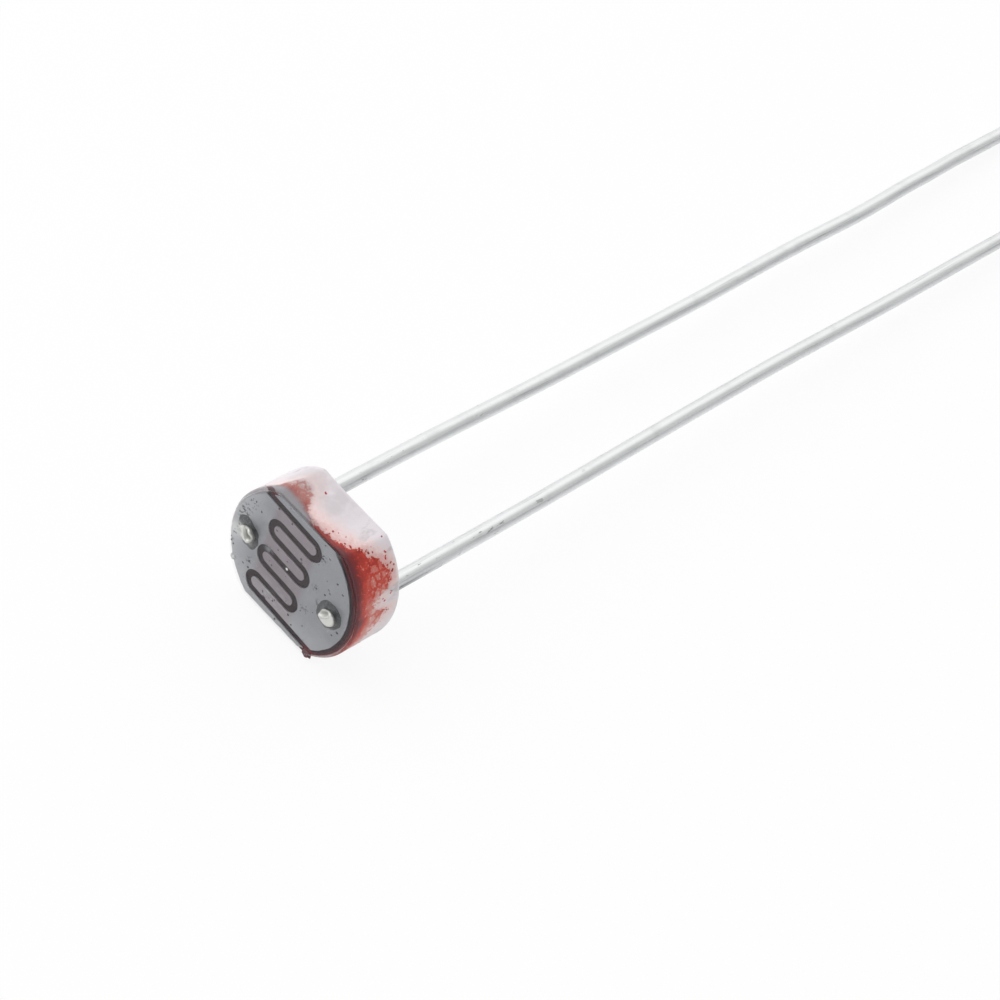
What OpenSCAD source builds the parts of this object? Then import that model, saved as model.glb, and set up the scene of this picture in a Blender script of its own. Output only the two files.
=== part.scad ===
// Photoresistor with a round ceramic body, two flats and two long wire leads.
// It lies on its lower flat, the back edge and the two cut lead tips on the ground.
// The light-sensitive track winds between two metal electrodes on the front face.

/* [Ceramic body] */
// Diameter over the round sides
body_d = 5.1; // [4.7:0.05:5.6]
// Width across the two flats
body_flats = 4.35; // [4.1:0.05:4.6]
// Thickness of the ceramic
body_t = 1.7; // [1.2:0.05:2.4]
// Radius of the edge round the front face
front_edge_r = 0.06; // [0.03:0.01:0.12]
// Radius of the edge round the back face
back_edge_r = 0.22; // [0.05:0.01:0.4]

/* [Leads] */
// Diameter of the wire
lead_d = 0.5; // [0.4:0.01:0.6]
// Distance between the axes of the two leads
lead_pitch = 3.45; // [3.1:0.05:3.6]
// Length from the back of the ceramic to the cut tip
lead_length = 38; // [37:0.5:60]
// Straight length behind the ceramic, before handling has bent the wire
lead_straight = 4; // [2.5:0.5:6]
// Height of the front wire end above the clear coat
stub_h = 0.18; // [0.12:0.01:0.3]
// Radius of the edge round the front wire end
stub_edge_r = 0.06; // [0.02:0.01:0.08]
// Diameter of the dimple in the front wire end
dimple_d = 0.3; // [0.2:0.01:0.34]
// Diameter of the dimple's flat floor
dimple_floor_d = 0.14; // [0.05:0.01:0.18]
// Depth of the dimple
dimple_depth = 0.05; // [0.02:0.01:0.08]
// Bevel round the cut tip
tip_bevel = 0.04; // [0.02:0.01:0.1]

/* [Contact joints] */
// Radial room between a lead and its hole, filled by the joint at the front
hole_clearance = 0.03; // [0.02:0.01:0.06]
// How deep the joint reaches into the hole
plug_depth = 0.5; // [0.2:0.05:1]
// Diameter of the collar on the electrode
collar_d = 0.68; // [0.66:0.01:0.76]
// Height of the collar on the wire
collar_h = 0.11; // [0.06:0.01:0.16]

/* [Layers on the face] */
// Thickness of the light-sensitive layer
layer_t = 0.04; // [0.02:0.01:0.08]
// Bare ceramic round the light-sensitive layer
layer_margin = 0.1; // [0.08:0.01:0.2]
// Thickness of the electrodes
electrode_t = 0.03; // [0.02:0.01:0.06]
// Distance from the body's round side to the electrodes, on average
electrode_side_margin = 0.2; // [0.19:0.01:0.3]
// Distance from the flats to the electrodes
electrode_flat_margin = 0.11; // [0.11:0.01:0.25]
// Sideways shift of the electrode print, towards the left lead
print_shift = 0.09; // [0:0.01:0.09]

/* [Track] */
// Fingers on each electrode
fingers = 3; // [1:1:3]
// Distance from one run of the track to the next
track_pitch = 0.585; // [0.5:0.005:0.62]
// Width of the track
track_w = 0.23; // [0.15:0.01:0.3]
// Straight length of a run, between the centres of its two turns
track_run = 1.15; // [0.6:0.05:1.25]
// Sideways shift of the track, towards the left lead
track_shift = 0.35; // [0.3:0.01:0.38]
// Turn of the track on the face, in degrees
track_turn = 3; // [0:0.5:4]

/* [Clear coat] */
// Thickness of the coat over the electrodes
coat_t = 0.08; // [0.05:0.01:0.14]
// Radius of the coat's rounded rim
coat_edge_r = 0.12; // [0.05:0.01:0.14]
// Diameter of the rise round each front wire end
rise_d = 1.1; // [0.9:0.05:1.2]
// Height of the rise on the wire
rise_h = 0.1; // [0.06:0.01:0.11]

/* [Hidden] */
$fn = 96;
EDGE_STEPS = 6;
OVERSIZE = 1;
WIDE = 2 * body_d;

lead_r = lead_d / 2;
hole_r = lead_r + hole_clearance;
face_t = layer_t + electrode_t;
coat_top = face_t + coat_t;
stub_top = coat_top + stub_h;

// Sides of the drifting wire and the distance from one ring of it to the next
WIRE_SIDES = 20;
RING_STEP = 0.8;
// How far the drifting wire reaches into the straight ends, how far out of them it stays straight,
// and how little thinner it is
WIRE_OVERLAP = 0.3;
WIRE_SETTLE = 0.1;
WIRE_INSET = 0.0005;

// Sideways drift left by handling: distance past the straight length, and offset towards the right
LEFT_DRIFT = [[0, 0], [7, 0.105], [12.5, 0.12], [18.5, 0.03], [22.5, 0.1], [24.2, 0.08], [27.6, -0.11]];
RIGHT_DRIFT = [[0, 0], [13, -0.11], [20.5, -0.04]];

// Angle at which the body's back edge and both tips touch the ground together
rest_reach = lead_length + back_edge_r;
rest_drop = body_flats / 2 - back_edge_r - lead_r;
rest_tilt = atan(rest_drop / rest_reach) + asin(back_edge_r / norm([rest_reach, rest_drop]));
tip_depth = body_t + lead_length;
face_height = tip_depth * sin(rest_tilt) + lead_r * cos(rest_tilt);
front_reach = stub_top * cos(rest_tilt) + (lead_r - stub_edge_r) * sin(rest_tilt);
back_reach = tip_depth * cos(rest_tilt) + lead_r * sin(rest_tilt);

function arc(centre, r, from, to) = r == 0 ? [centre] :
    [for (i = [0 : EDGE_STEPS]) centre + r * [
        cos(from + (to - from) * i / EDGE_STEPS),
        sin(from + (to - from) * i / EDGE_STEPS)
    ]];

// Offset of a lead at a distance past its straight length, eased from one drift point to the next
function drift(points, along, i = 0) =
    along <= points[0][0] ? points[0][1]
    : i + 1 == len(points) ? points[i][1]
    : along > points[i + 1][0] ? drift(points, along, i + 1)
    : points[i][1] + (points[i + 1][1] - points[i][1]) *
        (1 - cos(180 * (along - points[i][0]) / (points[i + 1][0] - points[i][0]))) / 2;

// From the face's own frame, x to the right lead, y across the flats and z out of the face,
// to the part lying on the ground
module lying() {
    translate([0, (front_reach - back_reach) / 2, face_height])
        rotate([90 - rest_tilt, 0, 0])
            children();
}

module at_lead(side) {
    translate([side * lead_pitch / 2, 0, 0])
        children();
}

// Disc with two flats between two heights, its edges rounded below and above
module flatted_disc(d, flats, low, high, low_r, high_r) {
    intersection() {
        rotate_extrude()
            polygon(concat(
                [[0, low]],
                arc([d / 2 - low_r, low + low_r], low_r, -90, 0),
                arc([d / 2 - high_r, high - high_r], high_r, 0, 90),
                [[0, high]]
            ));
        rotate([90, 0, 90])
            linear_extrude(height = WIDE, center = true)
                polygon(concat(
                    arc([flats / 2 - low_r, low + low_r], low_r, -90, 0),
                    arc([flats / 2 - high_r, high - high_r], high_r, 0, 90),
                    arc([high_r - flats / 2, high - high_r], high_r, 90, 180),
                    arc([low_r - flats / 2, low + low_r], low_r, 180, 270)
                ));
    }
}

module outline(margin_side, margin_flat) {
    intersection() {
        circle(d = body_d - 2 * margin_side);
        square([WIDE, body_flats - 2 * margin_flat], center = true);
    }
}

module lead_holes(low, high) {
    for (side = [-1, 1])
        at_lead(side)
            translate([0, 0, low])
                cylinder(r = hole_r, h = high - low);
}

module ceramic_body() {
    color("#efe8ea")
        lying()
            difference() {
                flatted_disc(body_d, body_flats, -body_t, 0, back_edge_r, front_edge_r);
                lead_holes(-body_t - OVERSIZE, OVERSIZE);
            }
}

module light_layer_shape() {
    linear_extrude(height = layer_t)
        outline(layer_margin, layer_margin);
}

module light_layer() {
    color("#4a3c44")
        lying()
            difference() {
                light_layer_shape();
                lead_holes(-OVERSIZE, OVERSIZE);
            }
}

// A finger that comes in from the left, with a round end
module finger(y, half_w) {
    translate([-WIDE, y - half_w])
        square([WIDE + track_run / 2, 2 * half_w]);
    translate([track_run / 2, y])
        circle(r = half_w);
}

// The side of the track that holds the right lead, in the track's own frame
module right_of_track() {
    top_run = fingers * track_pitch;
    wide_half = (track_pitch + track_w) / 2;
    narrow_half = (track_pitch - track_w) / 2;
    translate([-WIDE, top_run + track_w / 2])
        square([2 * WIDE, WIDE]);
    difference() {
        translate([-track_run / 2, track_w / 2 - top_run])
            square([WIDE, WIDE]);
        for (i = [0 : fingers - 1])
            finger(top_run - (2 * i + 0.5) * track_pitch, wide_half);
    }
    for (i = [0 : fingers - 1])
        translate([-track_run / 2, top_run - (2 * i + 1.5) * track_pitch])
            circle(r = narrow_half);
}

module electrode_shape(side) {
    translate([0, 0, layer_t])
        linear_extrude(height = electrode_t)
            intersection() {
                translate([-print_shift, 0])
                    outline(electrode_side_margin, electrode_flat_margin);
                translate([-track_shift, 0])
                    rotate(side > 0 ? -track_turn : 180 - track_turn)
                        right_of_track();
            }
}

module electrode(side) {
    color("#9aa0a5")
        lying()
            difference() {
                electrode_shape(side);
                lead_holes(-OVERSIZE, OVERSIZE);
            }
}

module electrode_left() {
    electrode(-1);
}

module electrode_right() {
    electrode(1);
}

// Front end of the wire, through the body and straight behind it, with a rounded and dimpled end
module lead_shank() {
    rotate_extrude()
        polygon(concat(
            [[0, -body_t - lead_straight], [lead_r, -body_t - lead_straight]],
            arc([lead_r - stub_edge_r, stub_top - stub_edge_r], stub_edge_r, 0, 90),
            [
                [dimple_d / 2, stub_top],
                [dimple_floor_d / 2, stub_top - dimple_depth],
                [0, stub_top - dimple_depth]
            ]
        ));
}

// The stretch of wire that drifts, as one tube of rings
module drifting_wire(points, length) {
    steps = ceil(length / RING_STEP);
    rings = steps + 2;
    places = concat(
        [-WIRE_OVERLAP],
        [for (k = [0 : steps]) WIRE_SETTLE + (length - 2 * WIRE_SETTLE) * k / steps],
        [length + WIRE_OVERLAP]
    );
    ring_points = [
        for (along = places, j = [0 : WIRE_SIDES - 1])
            let (turn = 360 * j / WIRE_SIDES)
            [
                drift(points, along) + (lead_r - WIRE_INSET) * cos(turn),
                (lead_r - WIRE_INSET) * sin(turn),
                along
            ]
    ];
    sides = [
        for (k = [0 : rings - 1], j = [0 : WIRE_SIDES - 1])
            let (a = k * WIRE_SIDES + j, b = k * WIRE_SIDES + (j + 1) % WIRE_SIDES)
            [a, a + WIRE_SIDES, b + WIRE_SIDES, b]
    ];
    start_cap = [for (j = [0 : WIRE_SIDES - 1]) j];
    end_cap = [for (j = [WIRE_SIDES - 1 : -1 : 0]) rings * WIRE_SIDES + j];
    polyhedron(points = ring_points, faces = concat(sides, [start_cap, end_cap]));
}

// Straight end of the wire, bevelled where it is cut
module cut_tail(length) {
    rotate_extrude()
        polygon([
            [0, 0],
            [lead_r, 0],
            [lead_r, length - tip_bevel],
            [lead_r - tip_bevel, length],
            [0, length]
        ]);
}

module lead(side, points) {
    drift_end = points[len(points) - 1];
    color("#c8ccd0")
        lying()
            at_lead(side) {
                lead_shank();
                translate([0, 0, -body_t - lead_straight])
                    rotate([180, 0, 0]) {
                        drifting_wire(points, drift_end[0]);
                        translate([drift_end[1], 0, drift_end[0]])
                            cut_tail(lead_length - lead_straight - drift_end[0]);
                    }
            }
}

module lead_left() {
    lead(-1, LEFT_DRIFT);
}

module lead_right() {
    lead(1, RIGHT_DRIFT);
}

// Conductive paste that fills the front of the hole and climbs the wire in a hollow curve
module joint_shape() {
    collar_r = collar_d / 2;
    rotate_extrude()
        polygon(concat(
            [[lead_r, -plug_depth], [hole_r, -plug_depth], [hole_r, face_t]],
            [for (i = [0 : EDGE_STEPS]) [
                collar_r - (collar_r - lead_r) * sin(90 * i / EDGE_STEPS),
                face_t + collar_h * (1 - cos(90 * i / EDGE_STEPS))
            ]]
        ));
}

module joint(side) {
    color("#6c6f73")
        lying()
            at_lead(side)
                joint_shape();
}

module joint_left() {
    joint(-1);
}

module joint_right() {
    joint(1);
}

// Rise of the coat round a front wire end
module coat_rise() {
    rise_r = rise_d / 2;
    rotate_extrude()
        polygon(concat(
            [[lead_r, face_t], [rise_r, face_t]],
            [for (i = [0 : EDGE_STEPS]) [
                rise_r - (rise_r - lead_r) * sin(90 * i / EDGE_STEPS),
                coat_top + rise_h * (1 - cos(90 * i / EDGE_STEPS))
            ]]
        ));
}

module clear_coat() {
    color([0.86, 0.88, 0.9, 0.35])
        lying()
            difference() {
                union() {
                    flatted_disc(
                        body_d - 2 * front_edge_r, body_flats - 2 * front_edge_r,
                        0, coat_top, 0, coat_edge_r
                    );
                    for (side = [-1, 1])
                        at_lead(side)
                            coat_rise();
                }
                light_layer_shape();
                for (side = [-1, 1]) {
                    electrode_shape(side);
                    at_lead(side)
                        joint_shape();
                    at_lead(side)
                        translate([0, 0, -OVERSIZE])
                            cylinder(r = lead_r, h = 2 * OVERSIZE);
                }
            }
}

ceramic_body();
light_layer();
electrode_left();
electrode_right();
lead_left();
lead_right();
joint_left();
joint_right();
clear_coat();
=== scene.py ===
import math
from types import SimpleNamespace

import bmesh
import bpy
from bpy.props import FloatProperty, FloatVectorProperty, PointerProperty
from mathutils import Matrix, Vector, noise
from mathutils.geometry import delaunay_2d_cdt


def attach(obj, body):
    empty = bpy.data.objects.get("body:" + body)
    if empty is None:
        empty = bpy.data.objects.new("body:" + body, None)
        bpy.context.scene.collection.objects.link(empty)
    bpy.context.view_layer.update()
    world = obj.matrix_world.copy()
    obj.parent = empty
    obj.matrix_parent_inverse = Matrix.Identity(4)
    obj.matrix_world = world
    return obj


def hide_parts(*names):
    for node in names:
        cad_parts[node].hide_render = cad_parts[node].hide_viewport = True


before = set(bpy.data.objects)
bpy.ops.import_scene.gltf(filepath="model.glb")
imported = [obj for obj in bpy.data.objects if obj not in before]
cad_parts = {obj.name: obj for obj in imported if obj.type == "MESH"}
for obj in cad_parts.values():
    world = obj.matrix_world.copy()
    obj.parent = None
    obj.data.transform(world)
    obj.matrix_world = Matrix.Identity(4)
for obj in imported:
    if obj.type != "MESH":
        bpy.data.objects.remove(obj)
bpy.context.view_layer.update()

bl_info = {
    "name": "Photoresistor",
    "version": (1, 0, 0),
    "blender": (4, 5, 0),
    "location": "3D View > Sidebar > Photoresistor",
    "description": "Builds a photoresistor: stained ceramic, printed track, wire leads and clear coat",
    "category": "Add Mesh",
}

MM = 0.001
WHITE = (1.0, 1.0, 1.0, 1.0)
SIDES = {-1: "left", 1: "right"}

# Sideways drift of the leads: distance past the straight length, and offset towards the right, in mm
DRIFT = {
    -1: ((0, 0), (7, 0.08), (12.5, 0.09), (18.5, 0.02), (21.5, 0.05), (25.5, -0.06), (27.6, -0.11)),
    1: ((0, 0), (13, -0.11), (20.5, -0.04)),
}

# How far each wire's front end leans to the right and up, the angle along which it was pinched,
# and its length and width
PINCHES = {-1: (-0.03, 0.045, -51, 1.12, 1.16), 1: (-0.065, 0.085, 30, 1.26, 1.14)}
# Height above the ceramic where the pinch starts, and the drop from the stub's height to the cut, in mm
PINCH_START = 0.1
CUT_DROP = 0.025

# Round the body by angle in degrees, 0 at the right lead and 90 on the upper flat:
# how deep the red stain reaches from the face, in mm
STAIN_REACH = (
    (-180, 0.0), (-150, 0.04), (-120, 0.08), (-95, 0.06), (-70, 0.14), (-45, 0.4), (-25, 0.6), (-8, 0.66),
    (0, 0.82), (6, 1.08), (12, 1.0), (17, 0.66), (24, 0.8), (27, 1.26), (36, 1.3), (43, 1.24), (48, 0.95),
    (52, 0.74), (57, 0.56), (60, 0.5), (63, 0.3), (68, 0.26), (72, 0.12), (77, 0.16), (84, 0.09), (98, 0.1),
    (103, 0.3), (109, 0.66), (115, 0.86), (123, 0.84), (128, 0.5), (132, 0.16), (142, 0.06), (155, 0.0),
    (180, 0.0),
)
# how strong its colour is
STAIN_STRENGTH = (
    (-180, 0.1), (-120, 0.18), (-60, 0.2), (-30, 0.25), (-5, 0.38), (4, 0.5), (12, 0.66), (19, 0.5), (25, 0.55),
    (31, 0.72), (40, 0.8), (52, 0.84), (62, 0.76), (76, 0.72), (90, 0.66), (102, 0.56), (112, 0.47), (122, 0.44),
    (130, 0.4), (145, 0.3), (180, 0.1),
)
# how deep the dark rim of the light-sensitive layer runs over the edge, in mm
RIM_REACH = (
    (-180, 0.0), (-120, 0.02), (-80, 0.04), (-60, 0.03), (-40, 0.03), (-10, 0.03), (20, 0.04), (48, 0.04),
    (58, 0.04), (66, 0.04), (80, 0.03), (98, 0.04), (112, 0.02), (125, 0.02), (180, 0.0),
)
# and how deep the grey film runs over it, in mm
FILM_REACH = (
    (-180, 0.05), (-165, 0.03), (-140, 0.0), (88, 0.0), (97, 0.07), (104, 0.14), (112, 0.2), (122, 0.22),
    (130, 0.2), (150, 0.18), (165, 0.12), (180, 0.05),
)
# Spots of stain off its edge: angle, depth and how many
STAIN_SPOTS = (
    (73, 0.36, 2), (62, 0.42, 2), (58, 0.62, 2), (55, 0.76, 2), (57, 0.92, 1), (53, 0.95, 2), (47, 1.24, 2),
    (59, 1.4, 1), (50, 1.32, 1), (41, 1.36, 1), (22, 1.24, 1), (12, 1.06, 2), (9, 1.18, 2), (14, 1.25, 1),
    (36, 1.36, 1), (67, 0.3, 2), (18, 0.95, 1), (2, 1.05, 1), (70, 0.5, 1), (106, 1.0, 1), (119, 1.05, 1),
)
# Dark flecks on the electrodes: place on the face in mm, and how many
FACE_FLECKS = (
    (0.73, 1.55, 5), (0.87, 0.36, 4), (-2.15, 0.55, 6), (-1.46, -0.95, 6), (0.8, -0.66, 5), (1.2, 0.72, 2),
    (-1.95, 1.15, 4), (-0.2, -1.45, 4), (-0.5, -1.5, 3), (-2.2, -0.85, 3), (1.35, 0.35, 2), (0.05, 0.62, 3),
)
# Marks on the face, each a place and a radius in mm: grey smudges on the electrodes,
FILM_SMUDGES = (
    (-2.12, 0.3, 0.36), (-2.1, 0.62, 0.3), (-1.95, 1.0, 0.26), (-1.46, -0.95, 0.2), (0.87, 0.38, 0.2),
    (0.75, 1.5, 0.26), (0.8, -0.66, 0.22), (1.15, 0.0, 0.2), (-1.0, 0.05, 0.22), (-2.2, -0.5, 0.18),
    (0.2, -1.0, 0.16),
)
# a bright speck on the track, red at the track's two ends, film smudged and dragged over the track,
GLINT = (-0.224, -0.014, 0.06)
TRACK_ENDS = ((-1.4, 2.02, 0.28), (1.4, -2.0, 0.45))
TRACK_SMUDGE = (-1.0, 0.02, 0.26)
TRACK_STREAK = (-0.3, -1.22, 0.4)
# and on the electrodes a pale spot, a rubbed one, and the rough side of the left wire's end
PALE_SPOT = (-2.28, -0.4, 0.45)
RUBBED_SPOT = (-0.3, -1.3, 0.6)
ROUGH_SPOT = (-1.98, -0.02, 0.22)


def srgb(code):
    """A colour as it shows on a screen, such as 9aa0a5, as linear red, green and blue."""
    shown = (int(code[i:i + 2], 16) / 255 for i in (0, 2, 4))
    return tuple(c / 12.92 if c <= 0.04045 else ((c + 0.055) / 1.055) ** 2.4 for c in shown)


def length(name, mm):
    return FloatProperty(
        name=name, default=mm * MM, min=0.0, precision=6, subtype="DISTANCE", unit="LENGTH",
    )


def colour(name, code):
    return FloatVectorProperty(name=name, default=srgb(code), min=0.0, max=1.0, size=3, subtype="COLOR")


def factor(name, default):
    return FloatProperty(name=name, default=default, min=0.0, max=1.0, subtype="FACTOR")


def location(name, default):
    return FloatVectorProperty(
        name=name, default=default, subtype="TRANSLATION", unit="LENGTH", precision=6,
    )


class PhotoresistorSizes(bpy.types.PropertyGroup):
    """Sizes of the photoresistor's pieces."""

    body_d: length("Over the round sides of the ceramic", 5.1)
    body_flats: length("Width of the ceramic across its two flats", 4.35)
    body_t: length("Thickness of the ceramic", 1.7)
    corner_r: length("Rounding where a flat meets a round side", 0.3)
    front_edge_r: length("Radius of the edge round the face", 0.06)
    back_edge_r: length("Radius of the edge round the back", 0.22)
    hole_r: length("Radius of the holes for the leads", 0.28)
    lead_d: length("Diameter of the leads", 0.5)
    lead_pitch: length("Distance between the two leads", 3.45)
    lead_length: length("From the back of the ceramic to the cut tip", 38)
    lead_straight: length("Behind the ceramic, before the wire drifts", 4)
    tip_bevel: length("Bevel round the cut tip", 0.04)
    stub_top: length("Height of the front wire ends above the ceramic", 0.33)
    stub_edge_r: length("Radius round the front wire ends", 0.06)
    film_top: length("Height of the electrodes above the ceramic", 0.07)
    collar_h: length("Height of the paste collars on the wire", 0.165)
    coat_top: length("Height of the clear coat above the ceramic", 0.15)
    coat_edge_r: length("Radius of the clear coat's rim", 0.12)
    rise_d: length("Diameter of the coat's rise round a wire", 1.1)
    rise_h: length("Height of the coat's rise on the wire", 0.1)


class PhotoresistorColours(bpy.types.PropertyGroup):
    """Colours of the photoresistor's finishes."""

    ceramic: colour("Glazed white ceramic", "e9e2e7")
    greying: colour("Grey towards the back and upper left of the ceramic", "aaa4a5")
    wash: colour("Palest wash of the stain", "f0d9d8")
    salmon: colour("Thin stain", "d68d82")
    stain: colour("Full stain", "cb3b27")
    deep: colour("Thickest stain", "852220")
    rim: colour("Light-sensitive layer over the edge", "4a2830")
    track: colour("Light-sensitive layer", "2a1e25")
    warm: colour("Layer towards the right side", "2c141b")
    blush: colour("Layer at the track's ends", "7a2527")
    glint: colour("Bright speck on the track", "f4f4f0")
    electrode: colour("Dull metal film", "93959a")
    finger: colour("Metal film between the runs of the track", "8b8188")
    # Painted reflection: metal film paler to the left and below
    pale: colour("Painted reflection on the metal film to the left and below", "d3d4d6")
    scratch: colour("Scratches in the metal film", "c9c9cb")
    rubbed: colour("Where the metal film is rubbed", "c6c2c4")
    fleck: colour("Dark flecks on the metal film", "55555c")
    wire: colour("Tinned wire", "fbfcfc")
    nick: colour("Nicks in the wire", "6c6f71")
    # Painted reflection: grey band along the wire's lower right side, fainter on its upper left
    reflection_band: colour("Painted reflection bands on the wire's sides", "a6abaf")
    streak: colour("Streaks along the wire", "a5a8aa")
    # Painted shadow on the wire's lower side just behind the ceramic
    shadow: colour("Painted shadow on the wire just behind the ceramic", "4d5052")
    cut: colour("Front ends of the wires", "d0d0ca")
    # Painted shade inside the dimples of the front ends
    dimple: colour("Painted shade inside the dimples", "86867e")
    rough: colour("Rough side of the left wire's end", "b4b6b4")
    grit: colour("Bright grit on the rough side", "ecece8")
    paste: colour("Conductive paste", "3f4143")
    grain: colour("Pale grain in the paste", "7d8082")
    # Painted highlight on the lower left of the left paste collar
    paste_highlight: colour("Painted highlight on the left collar's lower left", "c2c4c1")
    dust: colour("Dust on the lump of resin", "c9cfcc")
    clot: colour("Lump of the layer at the corner", "3f1d23")
    clot_dust: colour("Dust on the clot", "6e3a3f")


class PhotoresistorStudio(bpy.types.PropertyGroup):
    """Floor, light and camera."""

    floor: colour("Colour of the floor", "ffffff")
    floor_size: length("Width of the floor", 4000)
    box_size: length("Width of the soft light", 260)
    box_power: FloatProperty(name="Power of the soft light", default=0.2, min=0.0, unit="POWER")
    box_place: location("Where the soft light hangs", (-0.15, -0.06, 0.2))
    left: factor("Level of the light from above and the left", 0.93)
    right: factor("Level of the light from the right", 0.52)
    shadow: factor("How much of the floor's white gives way to the shadow", 0.12)
    camera_place: location("Where the camera stands", (0.0288827, -0.0630940, 0.0657713))
    camera_turn: FloatVectorProperty(
        name="How the camera is turned",
        default=tuple(math.radians(a) for a in (39.8028, -15.1533, 46.1536)),
        subtype="EULER", unit="ROTATION",
    )
    lens: FloatProperty(name="Focal length on a 36 mm sensor", default=107.39, min=1.0, unit="CAMERA")


def in_mm(group):
    """The lengths of a property group in millimetres, by name."""
    return SimpleNamespace(**{name: getattr(group, name) / MM for name in group.__annotations__})


def face_frame(s):
    """From the face's own frame in mm, x to the right lead, y across the flats and z out of the face,
    to the part lying on the ground."""
    lead_r = s.lead_d / 2
    reach = s.lead_length + s.back_edge_r
    drop = s.body_flats / 2 - s.back_edge_r - lead_r
    tilt = math.atan2(drop, reach) + math.asin(s.back_edge_r / math.hypot(reach, drop))
    tip = s.body_t + s.lead_length
    height = tip * math.sin(tilt) + lead_r * math.cos(tilt)
    front = s.stub_top * math.cos(tilt) + (lead_r - s.stub_edge_r) * math.sin(tilt)
    back = tip * math.cos(tilt) + lead_r * math.sin(tilt)
    return (
        Matrix.Translation((0, (front - back) / 2 * MM, height * MM))
        @ Matrix.Rotation(math.pi / 2 - tilt, 4, "X")
        @ Matrix.Scale(MM, 4)
    )


def setup(context):
    """The sizes in mm, the colours, and how the face's frame lies on the ground."""
    sizes = in_mm(context.scene.photoresistor_sizes)
    return sizes, context.scene.photoresistor_colours, face_frame(sizes)


def level(table, x):
    """The value at x between the points of a table."""
    for (x0, y0), (x1, y1) in zip(table, table[1:]):
        if x <= x1:
            return y0 + (y1 - y0) * (x - x0) / (x1 - x0)
    return table[-1][1]


def both_ways(operation):
    """An operator of a socket and its reflected form, as a Math node."""
    return (
        lambda self, other: self.math(operation, self, other),
        lambda self, other: self.math(operation, other, self),
    )


def emptied(owner):
    """The node tree of a material or world, with nothing in it yet."""
    owner.use_nodes = True
    owner.node_tree.nodes.clear()
    return owner.node_tree


class Socket:
    """A socket of a node tree. Operators on it add Math nodes, and node() adds any other node."""

    def __init__(self, tree, socket=None):
        self.tree = tree
        self.socket = socket

    def node(self, kind, settings=None, sockets=None, output=0):
        made = self.tree.nodes.new(kind)
        for name, value in (settings or {}).items():
            if name == "stops":
                ramp = made.color_ramp.elements
                while len(ramp) < len(value):
                    ramp.new(1.0)
                for stop, (place, shade) in zip(ramp, value):
                    stop.position = place
                    stop.color = (*shade, 1.0)
            elif name == "points":
                line = made.mapping.curves[0].points
                while len(line) < len(value):
                    line.new(1.0, 1.0)
                for point, place in zip(line, value):
                    point.location = place
                    point.handle_type = "VECTOR"
                made.mapping.update()
            else:
                setattr(made, name, value)
        for name, value in (sockets or {}).items():
            if isinstance(value, Socket):
                self.tree.links.new(value.socket, made.inputs[name])
            else:
                made.inputs[name].default_value = value
        return Socket(self.tree, made.outputs[output]) if made.outputs else Socket(self.tree)

    def math(self, operation, *values):
        return self.node("ShaderNodeMath", {"operation": operation}, dict(enumerate(values)))

    __add__, __radd__ = both_ways("ADD")
    __sub__, __rsub__ = both_ways("SUBTRACT")
    __mul__, __rmul__ = both_ways("MULTIPLY")
    __truediv__, __rtruediv__ = both_ways("DIVIDE")
    __pow__, __rpow__ = both_ways("POWER")

    def __neg__(self):
        return self.math("MULTIPLY", self, -1.0)

    def __abs__(self):
        return self.math("ABSOLUTE", self)

    def most(self, other):
        """The larger of this value and another."""
        return self.math("MAXIMUM", self, other)

    def clamp(self):
        return self.node("ShaderNodeClamp", {}, {"Value": self})

    def sibling(self, name):
        """Another output of the same node."""
        return Socket(self.tree, self.socket.node.outputs[name])

    def smooth(self, low, high):
        """0 below low, 1 above high, and a soft step between them."""
        return self.node(
            "ShaderNodeMapRange", {"interpolation_type": "SMOOTHSTEP"},
            {"Value": self, "From Min": low, "From Max": high},
        )

    def fade(self, low, high):
        """1 below low, 0 above high, and a soft step between them."""
        return 1 - self.smooth(low, high)

    def span(self, start, full, last, end):
        """1 from full to last, and 0 before start and after end."""
        return self.smooth(start, full) * self.fade(last, end)

    def table(self, points):
        """The value of a table at this socket's value."""
        low, high = points[0][0], points[-1][0]
        top = max(y for _, y in points)
        line = [((x - low) / (high - low), y / top) for x, y in points]
        share = (self - low) / (high - low)
        return top * self.node("ShaderNodeFloatCurve", {"points": line}, {"Value": share})

    def noise(self, scale, detail=2.0, roughness=0.5):
        """Noise from 0 to 1 at this place."""
        return self.node(
            "ShaderNodeTexNoise", {}, {"Vector": self, "Scale": scale, "Detail": detail, "Roughness": roughness},
        )

    def stretched(self, *factors):
        """This place, each axis times its own factor."""
        return self.node("ShaderNodeVectorMath", {"operation": "MULTIPLY"}, {0: self, 1: factors})

    def colour(self, rgb):
        made = self.node("ShaderNodeRGB")
        made.socket.default_value = (*rgb, 1.0)
        return made

    def under(self, *layers):
        """This colour under layers, each a colour and its share."""
        shade = self
        for rgb, share in layers:
            shade = self.node(
                "ShaderNodeMix", {"data_type": "RGBA"}, {0: share, 6: shade, 7: (*rgb, 1.0)}, output=2,
            )
        return shade


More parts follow.
